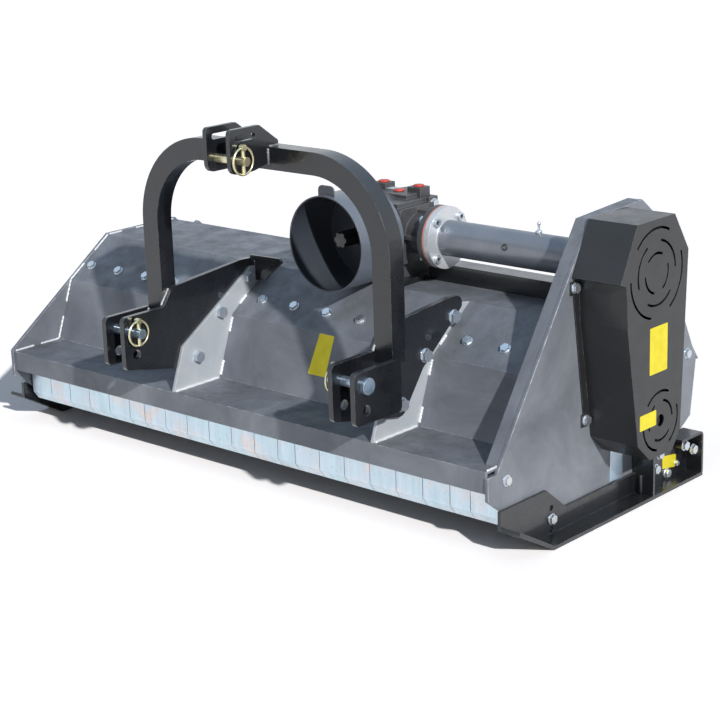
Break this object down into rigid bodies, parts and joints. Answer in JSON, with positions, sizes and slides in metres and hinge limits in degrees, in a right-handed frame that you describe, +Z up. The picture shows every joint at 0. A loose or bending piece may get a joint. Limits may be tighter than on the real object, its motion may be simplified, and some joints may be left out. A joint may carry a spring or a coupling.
{
  "type": "flail mower",
  "caption": "Offset rear flail mower: three point hitch hoop, shielded PTO gearbox and belt drive, hammer rotor under a folded deck, hinged zinc front flaps, skids and rear roller",
  "frame": {"origin": "middle of the machine's outline on the ground", "axes": "+X along the deck toward the belt side, -Y toward the tractor, +Z up"},
  "size_m": [1.668, 0.9196, 0.838],
  "materials": {
    "grey_paint": "metallic mid grey paint",
    "black_paint": "gloss black paint",
    "zinc": "blue white zinc plating",
    "yellow_zinc": "yellow zinc plating",
    "bright_steel": "turned steel",
    "blue_grey_paint": "blue grey paint",
    "black_casting": "black painted casting",
    "forged_steel": "dark forged steel",
    "belt_rubber": "matt black rubber",
    "gasket": "orange red sealing"
  },
  "bodies": {
    "frame": {"deck_shell": "grey_paint", "left_end_plate": "grey_paint", "right_end_plate": "grey_paint", "hitch_gussets": "grey_paint", "hitch_hoop": "black_paint", "left_hitch_plate": "black_paint", "right_hitch_plate": "black_paint", "hitch_cheeks": "black_paint", "top_link_plates": "black_paint", "lower_link_pins": "zinc", "top_link_pin": "yellow_zinc", "linch_pins": "yellow_zinc", "gearbox_housing": "black_casting", "gearbox_mount": "black_paint", "pto_shield": "black_paint", "shaft_bearings": "bright_steel", "drive_tube": "blue_grey_paint", "flange_gasket": "gasket", "v_belts": "belt_rubber", "belt_cover": "black_paint", "rotor_bearings": "black_casting", "counter_blade": "forged_steel", "flap_rod": "zinc", "left_skid": "black_paint", "right_skid": "black_paint", "roller_brackets": "black_paint", "panel_bolts": "zinc", "frame_bolts": "zinc"},
    "rotor": {"rotor_drum": "forged_steel", "rotor_pulley": "black_casting"},
    "hammers_a": {"hammers_row_a": "forged_steel"},
    "hammers_b": {"hammers_row_b": "forged_steel"},
    "hammers_c": {"hammers_row_c": "forged_steel"},
    "hammers_d": {"hammers_row_d": "forged_steel"},
    "cross_drive": {"cross_shaft": "bright_steel", "drive_pulley": "black_casting"},
    "input": {"input_shaft": "bright_steel"},
    "roller": {"rear_roller": "black_paint"},
    "hood": {"rear_hood": "grey_paint"},
    "flap_01": {"flap_01": "zinc"},
    "flap_02": {"flap_02": "zinc"},
    "flap_03": {"flap_03": "zinc"},
    "flap_04": {"flap_04": "zinc"},
    "flap_05": {"flap_05": "zinc"},
    "flap_06": {"flap_06": "zinc"},
    "flap_07": {"flap_07": "zinc"},
    "flap_08": {"flap_08": "zinc"},
    "flap_09": {"flap_09": "zinc"},
    "flap_10": {"flap_10": "zinc"},
    "flap_11": {"flap_11": "zinc"},
    "flap_12": {"flap_12": "zinc"},
    "flap_13": {"flap_13": "zinc"},
    "flap_14": {"flap_14": "zinc"},
    "flap_15": {"flap_15": "zinc"},
    "flap_16": {"flap_16": "zinc"},
    "flap_17": {"flap_17": "zinc"},
    "flap_18": {"flap_18": "zinc"},
    "flap_19": {"flap_19": "zinc"},
    "flap_20": {"flap_20": "zinc"},
    "flap_21": {"flap_21": "zinc"}
  },
  "joints": [
    {"name": "rotor_spin", "type": "hinge", "parent": "frame", "child": "rotor", "pos_m": [0, 0.09625, 0.219], "axis": [1, 0, 0], "continuous": true},
    {"name": "hammers_a_swing", "type": "hinge", "parent": "rotor", "child": "hammers_a", "pos_m": [0, 0.17544, 0.2982], "axis": [1, 0, 0], "range_deg": [0, 150]},
    {"name": "hammers_b_swing", "type": "hinge", "parent": "rotor", "child": "hammers_b", "pos_m": [0, 0.01705, 0.2982], "axis": [1, 0, 0], "range_deg": [-150, 0]},
    {"name": "hammers_c_swing", "type": "hinge", "parent": "rotor", "child": "hammers_c", "pos_m": [0, 0.01705, 0.1398], "axis": [1, 0, 0], "range_deg": [-120, 80]},
    {"name": "hammers_d_swing", "type": "hinge", "parent": "rotor", "child": "hammers_d", "pos_m": [0, 0.17544, 0.1398], "axis": [1, 0, 0], "range_deg": [-80, 120]},
    {"name": "cross_shaft_spin", "type": "hinge", "parent": "frame", "child": "cross_drive", "pos_m": [0, 0.07625, 0.538], "axis": [1, 0, 0], "continuous": true},
    {"name": "input_spin", "type": "hinge", "parent": "frame", "child": "input", "pos_m": [0.106, -0.02975, 0.538], "axis": [0, 1, 0], "continuous": true},
    {"name": "roller_spin", "type": "hinge", "parent": "frame", "child": "roller", "pos_m": [0, 0.32025, 0.06], "axis": [1, 0, 0], "continuous": true},
    {"name": "hood_hinge", "type": "hinge", "parent": "frame", "child": "hood", "pos_m": [0, 0.26775, 0.40552], "axis": [1, 0, 0], "range_deg": [0, 70]},
    {"name": "flap_01_hinge", "type": "hinge", "parent": "frame", "child": "flap_01", "pos_m": [0, -0.27475, 0.163], "axis": [1, 0, 0], "range_deg": [0, 60]},
    {"name": "flap_02_hinge", "type": "hinge", "parent": "frame", "child": "flap_02", "pos_m": [0, -0.27475, 0.163], "axis": [1, 0, 0], "range_deg": [0, 60]},
    {"name": "flap_03_hinge", "type": "hinge", "parent": "frame", "child": "flap_03", "pos_m": [0, -0.27475, 0.163], "axis": [1, 0, 0], "range_deg": [0, 60]},
    {"name": "flap_04_hinge", "type": "hinge", "parent": "frame", "child": "flap_04", "pos_m": [0, -0.27475, 0.163], "axis": [1, 0, 0], "range_deg": [0, 60]},
    {"name": "flap_05_hinge", "type": "hinge", "parent": "frame", "child": "flap_05", "pos_m": [0, -0.27475, 0.163], "axis": [1, 0, 0], "range_deg": [0, 60]},
    {"name": "flap_06_hinge", "type": "hinge", "parent": "frame", "child": "flap_06", "pos_m": [0, -0.27475, 0.163], "axis": [1, 0, 0], "range_deg": [0, 60]},
    {"name": "flap_07_hinge", "type": "hinge", "parent": "frame", "child": "flap_07", "pos_m": [0, -0.27475, 0.163], "axis": [1, 0, 0], "range_deg": [0, 60]},
    {"name": "flap_08_hinge", "type": "hinge", "parent": "frame", "child": "flap_08", "pos_m": [0, -0.27475, 0.163], "axis": [1, 0, 0], "range_deg": [0, 60]},
    {"name": "flap_09_hinge", "type": "hinge", "parent": "frame", "child": "flap_09", "pos_m": [0, -0.27475, 0.163], "axis": [1, 0, 0], "range_deg": [0, 60]},
    {"name": "flap_10_hinge", "type": "hinge", "parent": "frame", "child": "flap_10", "pos_m": [0, -0.27475, 0.163], "axis": [1, 0, 0], "range_deg": [0, 60]},
    {"name": "flap_11_hinge", "type": "hinge", "parent": "frame", "child": "flap_11", "pos_m": [0, -0.27475, 0.163], "axis": [1, 0, 0], "range_deg": [0, 60]},
    {"name": "flap_12_hinge", "type": "hinge", "parent": "frame", "child": "flap_12", "pos_m": [0, -0.27475, 0.163], "axis": [1, 0, 0], "range_deg": [0, 60]},
    {"name": "flap_13_hinge", "type": "hinge", "parent": "frame", "child": "flap_13", "pos_m": [0, -0.27475, 0.163], "axis": [1, 0, 0], "range_deg": [0, 60]},
    {"name": "flap_14_hinge", "type": "hinge", "parent": "frame", "child": "flap_14", "pos_m": [0, -0.27475, 0.163], "axis": [1, 0, 0], "range_deg": [0, 60]},
    {"name": "flap_15_hinge", "type": "hinge", "parent": "frame", "child": "flap_15", "pos_m": [0, -0.27475, 0.163], "axis": [1, 0, 0], "range_deg": [0, 60]},
    {"name": "flap_16_hinge", "type": "hinge", "parent": "frame", "child": "flap_16", "pos_m": [0, -0.27475, 0.163], "axis": [1, 0, 0], "range_deg": [0, 60]},
    {"name": "flap_17_hinge", "type": "hinge", "parent": "frame", "child": "flap_17", "pos_m": [0, -0.27475, 0.163], "axis": [1, 0, 0], "range_deg": [0, 60]},
    {"name": "flap_18_hinge", "type": "hinge", "parent": "frame", "child": "flap_18", "pos_m": [0, -0.27475, 0.163], "axis": [1, 0, 0], "range_deg": [0, 60]},
    {"name": "flap_19_hinge", "type": "hinge", "parent": "frame", "child": "flap_19", "pos_m": [0, -0.27475, 0.163], "axis": [1, 0, 0], "range_deg": [0, 60]},
    {"name": "flap_20_hinge", "type": "hinge", "parent": "frame", "child": "flap_20", "pos_m": [0, -0.27475, 0.163], "axis": [1, 0, 0], "range_deg": [0, 60]},
    {"name": "flap_21_hinge", "type": "hinge", "parent": "frame", "child": "flap_21", "pos_m": [0, -0.27475, 0.163], "axis": [1, 0, 0], "range_deg": [0, 60]}
  ],
  "couplings": [
    {"joint": "cross_shaft_spin", "follows": "rotor_spin", "ratio": 0.69565},
    {"joint": "input_spin", "follows": "rotor_spin", "ratio": 0.23188}
  ]
}
